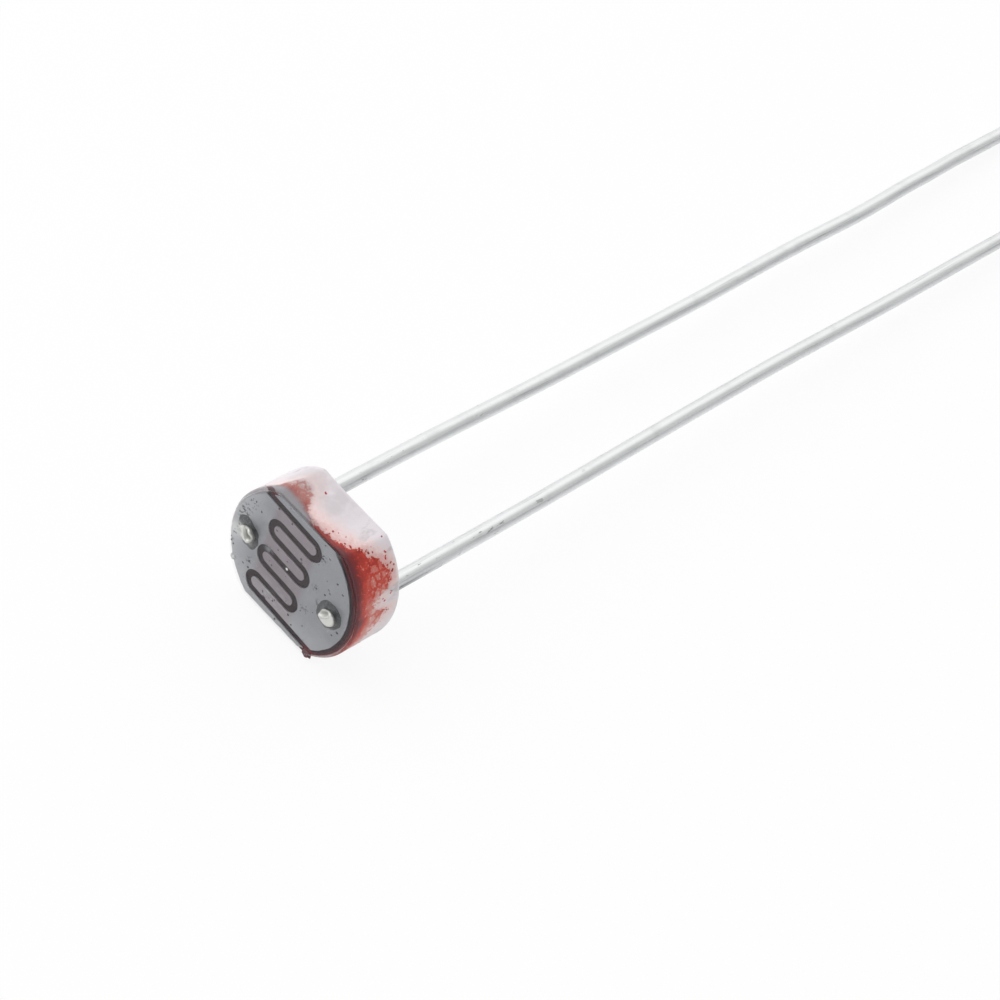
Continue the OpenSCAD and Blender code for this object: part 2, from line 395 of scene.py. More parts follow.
class Finish(Socket):
    """A material whose pattern is laid out in the face's own frame, in mm."""

    def __init__(self, name, lie):
        self.material = bpy.data.materials.new(name)
        super().__init__(emptied(self.material))
        place, turn, _ = lie.decompose()
        at = self.node("ShaderNodeTexCoord", {}, {}, "Object")
        self.place = self.node(
            "ShaderNodeMapping", {"vector_type": "TEXTURE"},
            {"Vector": at, "Location": place, "Rotation": turn.to_euler(), "Scale": (MM, MM, MM)},
        )
        self.x = self.node("ShaderNodeSeparateXYZ", {}, {"Vector": self.place})
        self.y = self.x.sibling("Y")
        self.z = self.x.sibling("Z")

    def away(self, x, y):
        """Distance from a place on the face."""
        return ((self.x - x) ** 2.0 + (self.y - y) ** 2.0) ** 0.5

    def near(self, x, y, radius):
        """1 at a place on the face, down to 0 at a radius from it."""
        return (self.away(x, y) / radius).fade(0.0, 1.0)

    def bump(self, height, strength, distance_mm):
        return self.node(
            "ShaderNodeBump", {}, {"Height": height, "Strength": strength, "Distance": distance_mm * MM}, "Normal",
        )

    def show(self, shader):
        self.node("ShaderNodeOutputMaterial", {}, {"Surface": shader})
        return self.material

    def principled(self, **sockets):
        """The finish, from the shader's sockets by name, such as base_color."""
        named = {name.replace("_", " ").title().replace(" Ior ", " IOR "): value for name, value in sockets.items()}
        return self.show(self.node("ShaderNodeBsdfPrincipled", {}, named))


def ceramic_finish(c, lie):
    """Glazed white ceramic, stained red from the face and dark at the rim."""
    f = Finish("stained_ceramic", lie)
    angle = f.math("ARCTAN2", f.y, f.x) * math.degrees(1)
    depth = -f.z
    broad = f.place.noise(2.4, 2.0)
    ragged = f.place.noise(5.5, 5.0, 0.7)
    fine = f.place.noise(19.0, 3.0, 0.6)
    bent = f.node("ShaderNodeVectorMath", {"operation": "MULTIPLY_ADD"}, {
        0: ragged.sibling("Color"), 1: (0.25, 0.25, 0.25), 2: f.place,
    })
    cells = f.node("ShaderNodeTexVoronoi", {"feature": "DISTANCE_TO_EDGE"}, {"Vector": bent, "Scale": 3.6})

    # The stain's ragged edge, softer at the upper left
    soft = angle.span(94, 104, 128, 136)
    uneven = (ragged - 0.5) * (0.85 - soft * 0.45) + (fine - 0.5) * (0.25 - soft * 0.15)
    inside = angle.table(STAIN_REACH) + uneven - depth
    crisp = inside.smooth(-0.05, 0.09)
    stained = crisp + (inside.smooth(-0.2, 0.2) - crisp) * soft
    edge = stained * inside.fade(0.04, 0.16)

    # How thick it is: pinholes, dried puddles, more near the face, and a wash beyond its edge
    pinholes = f.place.noise(8.5, 3.0, 0.6).smooth(0.58, 0.68)
    puddles = cells.smooth(0.05, 0.2) * depth.smooth(0.35, 0.7)
    strength = angle.table(STAIN_STRENGTH)
    full = strength + (broad - 0.5) * 0.55 + (fine - 0.5) * 0.3 + edge * 0.12 - pinholes * 0.26 - puddles * 0.22
    full = full + depth.fade(0.06, 0.4) * angle.span(-40, 5, 58, 68) * 0.35
    sides = depth.fade(1.45, 1.66)
    wash = inside.smooth(-0.9, 0.1) * strength * sides * 0.4
    stain = f.node("ShaderNodeValToRGB", {"stops": (
        (0.0, tuple(c.ceramic)), (0.16, tuple(c.wash)), (0.42, tuple(c.salmon)), (0.7, tuple(c.stain)),
        (1.0, tuple(c.deep)),
    )}, {"Fac": (stained * full).most(wash)}, "Color")

    # Greyer towards the back and over the upper flat and upper left, then what runs over the edge, and the track's
    # tip
    smears = f.place.stretched(1.0, 1.0, 0.45).noise(3.2, 4.0, 0.62).smooth(0.5, 0.72)
    back = depth.smooth(0.35, 1.3) * (1 - stained) * (0.4 + sides * 0.6)
    greyer_upper_left = angle.span(70, 92, 128, 140) * depth.smooth(0.35, 0.8) * broad.smooth(0.2, 0.6) * sides
    rim, film = angle.table(RIM_REACH), angle.table(FILM_REACH)
    over = (rim + (ragged - 0.5) * 0.2 - depth).smooth(-0.2, 0.08) * rim.smooth(0.0, 0.05)
    filmed = (film + (ragged - 0.5) * 0.18 - depth).smooth(-0.14, 0.1) * film.smooth(0.0, 0.08)
    tip = (abs(angle - 130.5 - depth * 48) / 4.0).fade(0.7, 1.0) * depth.fade(0.09, 0.16)
    shade = stain.under(
        (c.greying, (smears * back * 0.55).most(greyer_upper_left * 0.36)),
        (c.rim, soft * stained * (0.34 + depth.fade(0.1, 0.6) * 0.28)),
        (c.rim, over * 0.94),
        (c.electrode, filmed * 0.85),
        (c.rim, tip * 0.9),
    )
    return f.principled(
        base_color=shade,
        roughness=0.3 + stained * 0.12 + smears * 0.1,
        normal=f.bump(ragged * 0.5 + fine * 0.5 + stained * 0.5, 0.25, 0.02),
    )


def layer_finish(c, lie):
    """Light-sensitive layer, seen as the track."""
    f = Finish("light_sensitive_layer", lie)
    grain = f.place.noise(26.0, 3.0, 0.65)
    broad = f.place.noise(2.0, 2.0)
    middle = f.away(0.0, 0.0)
    first, last = (f.near(*end) for end in TRACK_ENDS)
    outer = middle.smooth(2.34, 2.45) * f.x.smooth(0.6, 1.4)
    left = middle.smooth(2.36, 2.42) * f.x.fade(-1.78, -1.66) * f.y.smooth(-0.6, 0.2)
    upper = f.y.smooth(1.98, 2.04) * f.x.fade(-0.6, 0.9)
    smudge = f.near(*TRACK_SMUDGE) * f.place.noise(9.0, 3.0).smooth(0.3, 0.6)
    dragged = f.place.stretched(1.0, 5.0, 1.0).noise(5.0, 2.0).smooth(0.5, 0.7)
    streak = f.near(*TRACK_STREAK) * dragged
    shade = f.colour(c.track).under(
        (c.warm, (f.x.smooth(1.2, 2.2) * 0.9 + (broad - 0.5) * 0.4).clamp()),
        (c.blush, ((first + last) * 0.7 + outer * 0.45).clamp()),
        (c.electrode, (grain - 0.5).smooth(0.05, 0.3) * 0.16),
        (c.electrode, left.most(upper * 0.75)),
        (c.electrode, (smudge * 0.7).most(streak * 0.4)),
        (c.glint, f.near(*GLINT).smooth(0.0, 0.4)),
    )
    return f.principled(
        base_color=shade, specular_ior_level=0.15, roughness=0.45 + grain * 0.2, normal=f.bump(grain, 0.2, 0.01),
    )


def electrode_finish(c, lie):
    """Dull metal film with fine scratches and specks, and a painted reflection that makes it paler towards the left
    and the bottom.
    """
    f = Finish("metal_film", lie)
    grain = f.place.noise(30.0, 3.0, 0.7)
    cloud = f.place.noise(1.7, 3.0, 0.55)
    scratch = f.place.stretched(9.0, 1.4, 1.0).noise(3.0, 3.0, 0.6).smooth(0.62, 0.74)
    pits = f.place.noise(15.0, 2.0, 0.5).smooth(0.67, 0.74)
    between = (abs(f.x + 0.35) - 0.86).fade(-0.12, 0.12) * (abs(f.y) - 1.75).fade(-0.1, 0.1)
    # Painted reflection: paler towards the left and the bottom, plus a pale spot at the left edge
    pale = f.x.fade(-2.7, -1.3) * 0.55 + f.y.fade(-2.2, -0.4) * 0.36 + f.near(*PALE_SPOT) * 0.6
    blot = f.place.noise(11.0, 4.0, 0.65).smooth(0.5, 0.58)
    wiped = f.place.stretched(1.2, 4.0, 1.0).noise(4.0, 3.0, 0.6).smooth(0.52, 0.62)
    shade = f.colour(c.electrode).under(
        (c.finger, between * 0.9),
        (c.pale, (pale + (cloud - 0.5) * 0.3).clamp()),
        (c.fleck, (pits * 0.5 + (grain - 0.5).smooth(0.08, 0.3) * 0.22).clamp()),
        (c.scratch, scratch * 0.3),
        *((c.fleck, f.near(*smudge).smooth(0.0, 0.5) * blot * 0.75) for smudge in FILM_SMUDGES),
        (c.rubbed, f.near(*RUBBED_SPOT) * wiped * 0.7),
        (c.glint, f.near(*GLINT).smooth(0.0, 0.4)),
    )
    return f.principled(
        base_color=shade, metallic=0.35, roughness=0.42 + grain * 0.16 - scratch * 0.1,
        normal=f.bump(grain * 0.6 + scratch * 0.4, 0.12, 0.01),
    )


def wire_finish(s, c, lie):
    """Tinned wire, drawn along its length, with fine nicks, painted reflection bands along its sides and a painted
    shadow behind the ceramic.
    """
    f = Finish("tinned_wire", lie)
    drawn = f.place.stretched(6.0, 6.0, 0.35).noise(3.0, 3.0, 0.6)
    dull = f.place.noise(1.3, 3.0, 0.6)
    grit = f.place.noise(16.0, 3.0, 0.6)
    streaks = f.place.stretched(9.0, 9.0, 0.2).noise(2.0, 3.0, 0.6)
    nicks = f.place.stretched(1.0, 1.0, 0.3).noise(8.0, 2.0, 0.5).smooth(0.65, 0.74) * f.z.smooth(-13.0, -3.0)

    # The front ends: dimples with painted shade inside them, the walls below the heads, and the rough side of the
    # left one
    end = f.z.smooth(0.1, 0.2)
    # Painted shade: darker where the front end dips low, inside the dimples
    dimple_shade = end * f.z.fade(0.22, 0.3)
    heads = [f.away(lead_axis(s, side) + PINCHES[side][0], PINCHES[side][1]) for side in SIDES]
    wall = f.z.smooth(0.0, 0.1) * f.math("MINIMUM", *heads).smooth(0.28, 0.32)
    rough = f.near(*ROUGH_SPOT) * f.z.smooth(0.0, 0.1)

    # Painted reflection bands along the lower right and upper left, and a painted shadow on the lower side behind the
    # ceramic
    normal = f.node("ShaderNodeNewGeometry", {}, {}, "Normal")
    lower = f.node("ShaderNodeVectorMath", {"operation": "DOT_PRODUCT"}, {0: normal, 1: (0.86, 0.0, -0.5)}, "Value")
    band_share = (lower + (streaks - 0.5) * 0.7).smooth(0.05, 0.5) * (1 - lower.smooth(0.55, 0.95) * 0.8)
    upper = ((streaks - 0.5) * 0.5 - lower).smooth(0.5, 0.9)
    # Painted shadow: the lower side darker just behind the ceramic
    shadowed = f.z.span(-5.0, -1.8, -1.7, -1.6) * lower.smooth(0.4, 0.75) * streaks.smooth(0.35, 0.55)
    shade = f.colour(c.wire).under(
        (c.nick, (nicks * 0.8 + (dull - 0.5).smooth(0.0, 0.3) * 0.12).clamp()),
        (c.reflection_band, (band_share * 0.5).most(upper * 0.2)),
        (c.streak, streaks.smooth(0.58, 0.75) * 0.4),
        (c.cut, end * 0.7),
        (c.dimple, dimple_shade * 0.85),
        (c.paste, wall * 0.65),
        (c.rough, rough * 0.8),
        (c.grit, rough * grit.smooth(0.5, 0.65)),
        (c.shadow, shadowed * 0.8),
    )
    return f.principled(
        base_color=shade, metallic=1 - (wall * 0.7).most((rough * 0.6).most(dimple_shade * 0.5)),
        roughness=0.3 + drawn * 0.14 + nicks * 0.2 + end * 0.1,
        normal=f.bump(drawn * 0.7 + dull * 0.6 - nicks * 0.5 + rough * grit * 2.0, 0.3, 0.012),
    )


def paste_finish(c, lie):
    """Dark conductive paste, with a painted highlight on the lower left of the left collar."""
    f = Finish("conductive_paste", lie)
    grain = f.place.noise(14.0, 3.0, 0.6)
    # Painted highlight: the left collar paler on its lower left side
    paste_highlight = f.x.fade(-2.05, -1.8) * f.y.fade(-0.15, 0.1)
    shade = f.colour(c.paste).under(
        (c.grain, (grain - 0.5).smooth(0.0, 0.25) * 0.5),
        (c.paste_highlight, paste_highlight * grain.smooth(0.25, 0.5)),
    )
    return f.principled(base_color=shade, metallic=0.2, roughness=0.32 + grain * 0.2, normal=f.bump(grain, 0.3, 0.01))


def resin_finish(lie):
    """Clear resin: see-through, with the gloss of its own surface."""
    f = Finish("clear_resin", lie)
    facing = f.node("ShaderNodeLayerWeight", {}, {"Blend": 0.5}, "Facing")
    inside = f.node("ShaderNodeNewGeometry", {}, {}, "Backfacing")
    gloss = (facing ** 5.0 * 0.97 + 0.03) * (1 - inside)
    waves = f.place.noise(2.5, 2.0)
    clear = f.node("ShaderNodeBsdfTransparent", {}, {"Color": (0.97, 0.97, 0.97, 1.0)})
    sheen = f.node("ShaderNodeBsdfAnisotropic", {}, {
        "Color": WHITE, "Roughness": 0.12, "Normal": f.bump(waves, 0.15, 0.03),
    })
    return f.show(f.node("ShaderNodeMixShader", {}, {0: gloss, 1: clear, 2: sheen}))


def mottled_finish(name, lie, first, second, grain, step, rough, rougher=0.0, **more):
    """Two colours mixed in blots, as on dried droplets, flecks and dusty lumps."""
    f = Finish(name, lie)
    blots = f.place.noise(*grain)
    shade = f.colour(first).under((second, blots.smooth(*step)))
    return f.principled(base_color=shade, roughness=rough + blots * rougher if rougher else rough, **more)


def turns(count):
    """Angles once round, in even steps."""
    return [2 * math.pi * i / count for i in range(count)]


def quarter(steps):
    """Angles from nothing to a quarter turn, in even steps."""
    return [math.pi / 2 * i / steps for i in range(steps + 1)]


def circle(x, r, count):
    """Points round a place on the line between the leads."""
    return [Vector((x + r * math.cos(a), r * math.sin(a))) for a in turns(count)]


def rounded_outline(radius, half_flat, corner_r, count):
    """Evenly spaced points and outward normals round a disc with two flats and rounded corners."""
    cx = math.sqrt((radius - corner_r) ** 2 - (half_flat - corner_r) ** 2)
    cy = half_flat - corner_r
    lean = math.atan2(cy, cx)
    arcs = ((0, 0, radius, 0, lean), (cx, cy, corner_r, lean, math.pi / 2 - lean))
    whole = sum(r * turn for _, _, r, _, turn in arcs) + cx
    steps = count // 4
    points = []
    for i in range(steps):
        left = whole * i / steps
        for x, y, r, start, turn in arcs:
            if left <= r * turn:
                a = start + left / (r * turn) * turn
                points.append((x + r * math.cos(a), y + r * math.sin(a), a))
                break
            left -= r * turn
        else:
            points.append((cx * (1 - left / cx), half_flat, math.pi / 2))
    mirrored = [(-x, y, math.pi - a) for x, y, a in [(0, half_flat, math.pi / 2)] + points[:0:-1]]
    half = points + mirrored
    full = half + [(-x, -y, a + math.pi) for x, y, a in half]
    return [(Vector((x, y)), Vector((math.cos(a), math.sin(a)))) for x, y, a in full]


def flat_sheet(border, holes, extra=()):
    """Triangles that fill a border but not its round holes, through some extra points."""
    same_point, on_rim = 1e-6, 1e-4
    points, edges = [], []
    for loop in (border, *holes):
        first = len(points)
        points += loop
        edges += [(first + i, first + (i + 1) % len(loop)) for i in range(len(loop))]
    points += extra
    made, _, faces, *_ = delaunay_2d_cdt(points, edges, [], 1, same_point)
    middles = [sum(loop, Vector((0, 0))) / len(loop) for loop in holes]
    radii = [(loop[0] - middle).length for loop, middle in zip(holes, middles)]

    def in_hole(face):
        return any(all((made[i] - m).length < r + on_rim for i in face) for m, r in zip(middles, radii))

    return made, [face for face in faces if not in_hole(face)]


class Shell:
    """Points and faces of one closed piece, in the face's own frame in mm."""

    SEAM = 2e-4

    def __init__(self):
        self.points = []
        self.faces = []

    def ring(self, points):
        self.points += [tuple(p) for p in points]
        return list(range(len(self.points) - len(points), len(self.points)))

    def flat(self, ring):
        """The points of a ring, seen along z."""
        return [Vector(self.points[i][:2]) for i in ring]

    def skin(self, *rings):
        """Quads between each ring and the next one, of as many points."""
        for a, b in zip(rings, rings[1:]):
            n = len(a)
            self.faces += [(a[i], a[(i + 1) % n], b[(i + 1) % n], b[i]) for i in range(n)]

    def fan(self, ring, point):
        """Triangles from a ring to one point."""
        tip = self.ring([point])[0]
        self.faces += [(ring[i], ring[(i + 1) % len(ring)], tip) for i in range(len(ring))]

    def sheet(self, made, faces, height):
        """A flat sheet's triangles, each point raised to its height."""
        first = len(self.points)
        self.points += [(p.x, p.y, height(p.x, p.y)) for p in made]
        self.faces += [tuple(first + i for i in face) for face in faces]

    def mesh(self, name, lie):
        """The piece as a mesh on the ground, its seams closed and its faces outwards."""
        bm = bmesh.new()
        verts = [bm.verts.new(lie @ Vector(p)) for p in self.points]
        for face in self.faces:
            bm.faces.new([verts[i] for i in face])
        bmesh.ops.remove_doubles(bm, verts=bm.verts, dist=self.SEAM * MM)
        bmesh.ops.recalc_face_normals(bm, faces=bm.faces)
        return finished_mesh(bm, name)


def finished_mesh(bm, name, sharp=40):
    """A mesh from bm, smooth but for edges sharper than an angle, and free of a copied solid's normals."""
    mesh = bpy.data.meshes.new(name)
    bm.to_mesh(mesh)
    bm.free()
    if mesh.has_custom_normals:
        mesh.attributes.remove(mesh.attributes["custom_normal"])
    mesh.shade_smooth()
    mesh.set_sharp_from_angle(angle=math.radians(sharp))
    return mesh


def place_piece(name, mesh, material, slot, *nodes):
    """Shows a mesh as a piece of the part, in place of some CAD nodes."""
    piece = bpy.data.objects.new(name, mesh)
    bpy.context.scene.collection.objects.link(piece)
    mesh.materials.clear()
    mesh.materials.append(material)
    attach(piece, "root")
    if nodes:
        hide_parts(*nodes)


def dress_node(node, material):
    """Gives a CAD node's own shape a better finish."""
    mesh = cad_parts[node].data
    mesh.materials.clear()
    mesh.materials.append(material)


def speck_tree():
    """Flattened specks scattered over a surface by its own speck attribute."""
    tree = bpy.data.node_groups.new("Specks", "GeometryNodeTree")
    for name, kind in (
        ("Surface", "Geometry"), ("Density", "Float"), ("Smallest", "Float"), ("Largest", "Float"),
        ("Flatness", "Float"), ("Seed", "Int"), ("Finish", "Material"),
    ):
        tree.interface.new_socket(name, in_out="INPUT", socket_type="NodeSocket" + kind)
    tree.interface.new_socket("Specks", in_out="OUTPUT", socket_type="NodeSocketGeometry")
    surface = Socket(tree).node("NodeGroupInput", {}, {}, "Surface")
    seed = surface.sibling("Seed")

    def random(low, high, draw):
        values = {"Min": low, "Max": high, "Seed": draw}
        return surface.node("FunctionNodeRandomValue", {"data_type": "FLOAT"}, values, 1)

    share = surface.node("GeometryNodeInputNamedAttribute", {"data_type": "FLOAT"}, {"Name": "speck"}, "Attribute")
    points = surface.node("GeometryNodeDistributePointsOnFaces", {"distribute_method": "RANDOM"}, {
        "Mesh": surface, "Density": share * surface.sibling("Density"), "Seed": seed,
    }, "Points")
    blob = surface.node("GeometryNodeMeshIcoSphere", {}, {"Radius": 1.0, "Subdivisions": 2}, "Mesh")
    size = random(surface.sibling("Smallest"), surface.sibling("Largest"), seed)
    wide = random(0.5, 1.0, seed + 7)
    spin = random(0.0, 2 * math.pi, seed + 3)
    about = surface.node("FunctionNodeAxisAngleToRotation", {}, {"Axis": (0, 0, 1), "Angle": spin})
    turned = surface.node("FunctionNodeRotateRotation", {"rotation_space": "LOCAL"}, {
        "Rotation": points.sibling("Rotation"), "Rotate By": about,
    })
    scale = surface.node("ShaderNodeCombineXYZ", {}, {
        "X": size, "Y": size * wide, "Z": size * surface.sibling("Flatness"),
    })
    placed = surface.node("GeometryNodeInstanceOnPoints", {}, {
        "Points": points, "Instance": blob, "Rotation": turned, "Scale": scale,
    })
    real = surface.node("GeometryNodeRealizeInstances", {}, {"Geometry": placed})
    soft = surface.node("GeometryNodeSetShadeSmooth", {}, {"Geometry": real})
    done = surface.node("GeometryNodeSetMaterial", {}, {"Geometry": soft, "Material": surface.sibling("Finish")})
    surface.node("NodeGroupOutput", {}, {"Specks": done})
    return tree


def specks(name, mesh, share, material, slot, **inputs):
    """Scatters specks over a copy of a mesh, as many to the square millimetre as share says at each point."""
    carrier = bpy.data.objects.new(name + "_carrier", mesh.copy())
    bpy.context.scene.collection.objects.link(carrier)
    dense = carrier.data.attributes.new("speck", "FLOAT", "POINT")
    dense.data.foreach_set("value", [share(v.co) for v in carrier.data.vertices])
    tree = bpy.data.node_groups.get("Specks") or speck_tree()
    modifier = carrier.modifiers.new("Specks", "NODES")
    modifier.node_group = tree
    values = {"Finish": material, "Density": 1e6, **inputs}
    for socket in tree.interface.items_tree:
        if socket.in_out == "INPUT" and socket.name in values:
            modifier[socket.identifier] = values[socket.name]
    graph = bpy.context.evaluated_depsgraph_get()
    scattered = bpy.data.meshes.new_from_object(carrier.evaluated_get(graph))
    bpy.data.objects.remove(carrier)
    if not scattered.polygons:
        raise RuntimeError(f"no specks came out for {name}")
    scattered.name = name
    place_piece(name, scattered, material, slot)


def lead_axis(s, side):
    return side * s.lead_pitch / 2


def pinched(s, side, x, y, z):
    """A point of a wire's front end, given off its axis: pinched and leaning more the higher it is."""
    lean_x, lean_y, along, longer, narrower = PINCHES[side]
    turn = Matrix.Rotation(math.radians(along), 2)
    share = min(1, max(0, (z - PINCH_START) / (s.stub_top - CUT_DROP - PINCH_START)))
    flat = turn.transposed() @ Vector((x, y))
    flat.x *= 1 + (longer - 1) * share
    flat.y *= 1 + (narrower - 1) * share
    flat = turn @ flat
    return lead_axis(s, side) + flat.x + lean_x * share, flat.y + lean_y * share, z


class PHOTORESISTOR_OT_ceramic(bpy.types.Operator):
    """Build the ceramic body with its holes, rounded edges and stain."""

    bl_idname = "photoresistor.ceramic"
    bl_label = "Ceramic body"

    AROUND = 320
    EDGE_STEPS = 6
    SIDE_STEP = 0.05
    HOLE_POINTS = 40
    # Where the back edge is less rounded
    CRISP_CORNER = Vector((-1.55, 2.03))

    def execute(self, context):
        s, c, lie = setup(context)
        mesh = self.disc(s).mesh("ceramic_disc", lie)
        place_piece("ceramic_disc", mesh, ceramic_finish(c, lie), "ceramic", "ceramic_body")
        back = lie.inverted()
        dried = mottled_finish("stain_droplets", lie, c.stain, c.deep, (9.0, 2.0), (0.35, 0.65), 0.35, 0.1)
        specks(
            "stain_specks", mesh, lambda point: self.share(s, back @ point), dried, "light_layer",
            Smallest=0.012 * MM, Largest=0.045 * MM, Flatness=0.22, Seed=5,
        )
        return {"FINISHED"}

    def disc(self, s, much=0.01, inwards=0.7, fine=1.3, along=1.7, full=0.3, reach=0.75, crisp=0.6):
        """The body, with a slightly uneven side and one back corner less rounded."""
        outline = rounded_outline(s.body_d / 2, s.body_flats / 2, s.corner_r, self.AROUND)
        front, rear = s.front_edge_r, s.back_edge_r
        straight = s.body_t - front - rear
        runs = round(straight / self.SIDE_STEP)
        bends = quarter(self.EDGE_STEPS)
        profile = [(front * (1 - math.sin(a)), front * (math.cos(a) - 1)) for a in bends]
        profile += [(0, -front - straight * i / runs) for i in range(1, runs)]
        profile += [(rear * (1 - math.cos(a)), rear * (1 - math.sin(a)) - s.body_t) for a in bends]
        shell = Shell()
        rings = []
        for inset, z in profile:
            ring = []
            for p, n in outline:
                uneven = much * (noise.noise(Vector((p.x * fine, p.y * fine, z * along))) - inwards)
                behind = z < rear - s.body_t
                kept = crisp * math.exp(-((p - self.CRISP_CORNER).length / reach) ** 2) * behind
                low = z + kept * (-s.body_t - z)
                ring.append((*(p - n * (inset * (1 - kept) - uneven * min(1, -z / full))), low))
            rings.append(shell.ring(ring))
        shell.skin(*rings)
        holes = [circle(lead_axis(s, side), s.hole_r, self.HOLE_POINTS) for side in SIDES]
        for ring, z in ((rings[0], 0), (rings[-1], -s.body_t)):
            shell.sheet(*flat_sheet(shell.flat(ring), holes), lambda x, y: z)
        for hole in holes:
            shell.skin(*(shell.ring([(*p, z) for p in hole]) for z in (0, -s.body_t)))
        return shell

    def share(
        self, s, p, front=0.05, rear=0.12, flats=0.1, off_edge=0.1, edge_width=0.13, on_edge=9,
        on_spot=260, spot_width=0.0016, degree=0.044,
    ):
        """Specks of stain to the square millimetre at a point of the ceramic."""
        angle, depth = math.degrees(math.atan2(p.y, p.x)), -p.z
        if not front < depth < s.body_t - rear or math.hypot(p.x, p.y) < s.body_flats / 2 - flats:
            return 0.0
        off = depth - level(STAIN_REACH, angle)
        near_edge = math.exp(-((off - off_edge) / edge_width) ** 2) * level(STAIN_STRENGTH, angle) * on_edge
        return near_edge + sum(
            many * on_spot * math.exp(-(((angle - a) * degree) ** 2 + (depth - d) ** 2) / spot_width)
            for a, d, many in STAIN_SPOTS
        )


class PHOTORESISTOR_OT_films(bpy.types.Operator):
    """Build the light-sensitive layer and the two electrodes on the face."""

    bl_idname = "photoresistor.films"
    bl_label = "Films on the face"

    # Cuts to each side of the middle, and the distance from one to the next
    CUTS = 26
    CUT_STEP = 0.1
    # Distances under which points are one: in the solid, on a cut and after the cuts
    MERGE, ON_CUT, MERGE_CUTS = 1e-4, 1e-5, 1e-3
    # Unevenness of the edges: lengths of the waves and how much, and the slice of noise
    WOBBLE_SEED = 3
    WOBBLE = ((0.28, 0.011), (0.09, 0.006))
    WOBBLE_SLICE = 4.2

    def execute(self, context):
        s, c, lie = setup(context)
        dress_node("light_layer", layer_finish(c, lie))
        metal = electrode_finish(c, lie)
        flecks = mottled_finish(
            "flecks", lie, c.track, c.fleck, (12.0, 2.0), (0.35, 0.65), 0.7, specular_ior_level=0.2,
        )
        back = lie.inverted()
        for name in SIDES.values():
            mesh = self.uneven_film("electrode_" + name, "metal_film_" + name, lie)
            place_piece("metal_film_" + name, mesh, metal, "electrode", "electrode_" + name)
            specks(
                "face_flecks_" + name, mesh, lambda point: self.share(s, back @ point), flecks, "electrode",
                Smallest=0.014 * MM, Largest=0.048 * MM, Flatness=0.1, Seed=6,
            )
        return {"FINISHED"}

    def share(self, s, p, all_over=3, on_spot=40, spot_width=0.006, top_only=0.002):
        """Flecks to the square millimetre at a point of a film."""
        if p.z < s.film_top - top_only:
            return 0.0
        return all_over + sum(
            many * on_spot * math.exp(-((p.x - x) ** 2 + (p.y - y) ** 2) / spot_width) for x, y, many in FACE_FLECKS
        )

    def uneven_film(self, node, name, lie):
        """A copy of a film's solid, cut finer and with slightly uneven edges."""
        bm = bmesh.new()
        bm.from_mesh(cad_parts[node].data)
        bm.transform(lie.inverted())
        bmesh.ops.remove_doubles(bm, verts=bm.verts, dist=self.MERGE)
        for axis in ((1, 0, 0), (0, 1, 0)):
            for k in range(-self.CUTS, self.CUTS + 1):
                cut = Vector(axis) * (k + 0.5) * self.CUT_STEP
                geometry = [*bm.verts, *bm.edges, *bm.faces]
                bmesh.ops.bisect_plane(bm, geom=geometry, dist=self.ON_CUT, plane_co=cut, plane_no=axis)
        bmesh.ops.remove_doubles(bm, verts=bm.verts, dist=self.MERGE_CUTS)
        noise.seed_set(self.WOBBLE_SEED)
        for v in bm.verts:
            here = v.co.copy()
            for wave, much in self.WOBBLE:
                push = noise.noise_vector(Vector((here.x / wave, here.y / wave, self.WOBBLE_SLICE)))
                v.co.x += much * push.x
                v.co.y += much * push.y
        bm.transform(lie)
        return finished_mesh(bm, name, sharp=30)


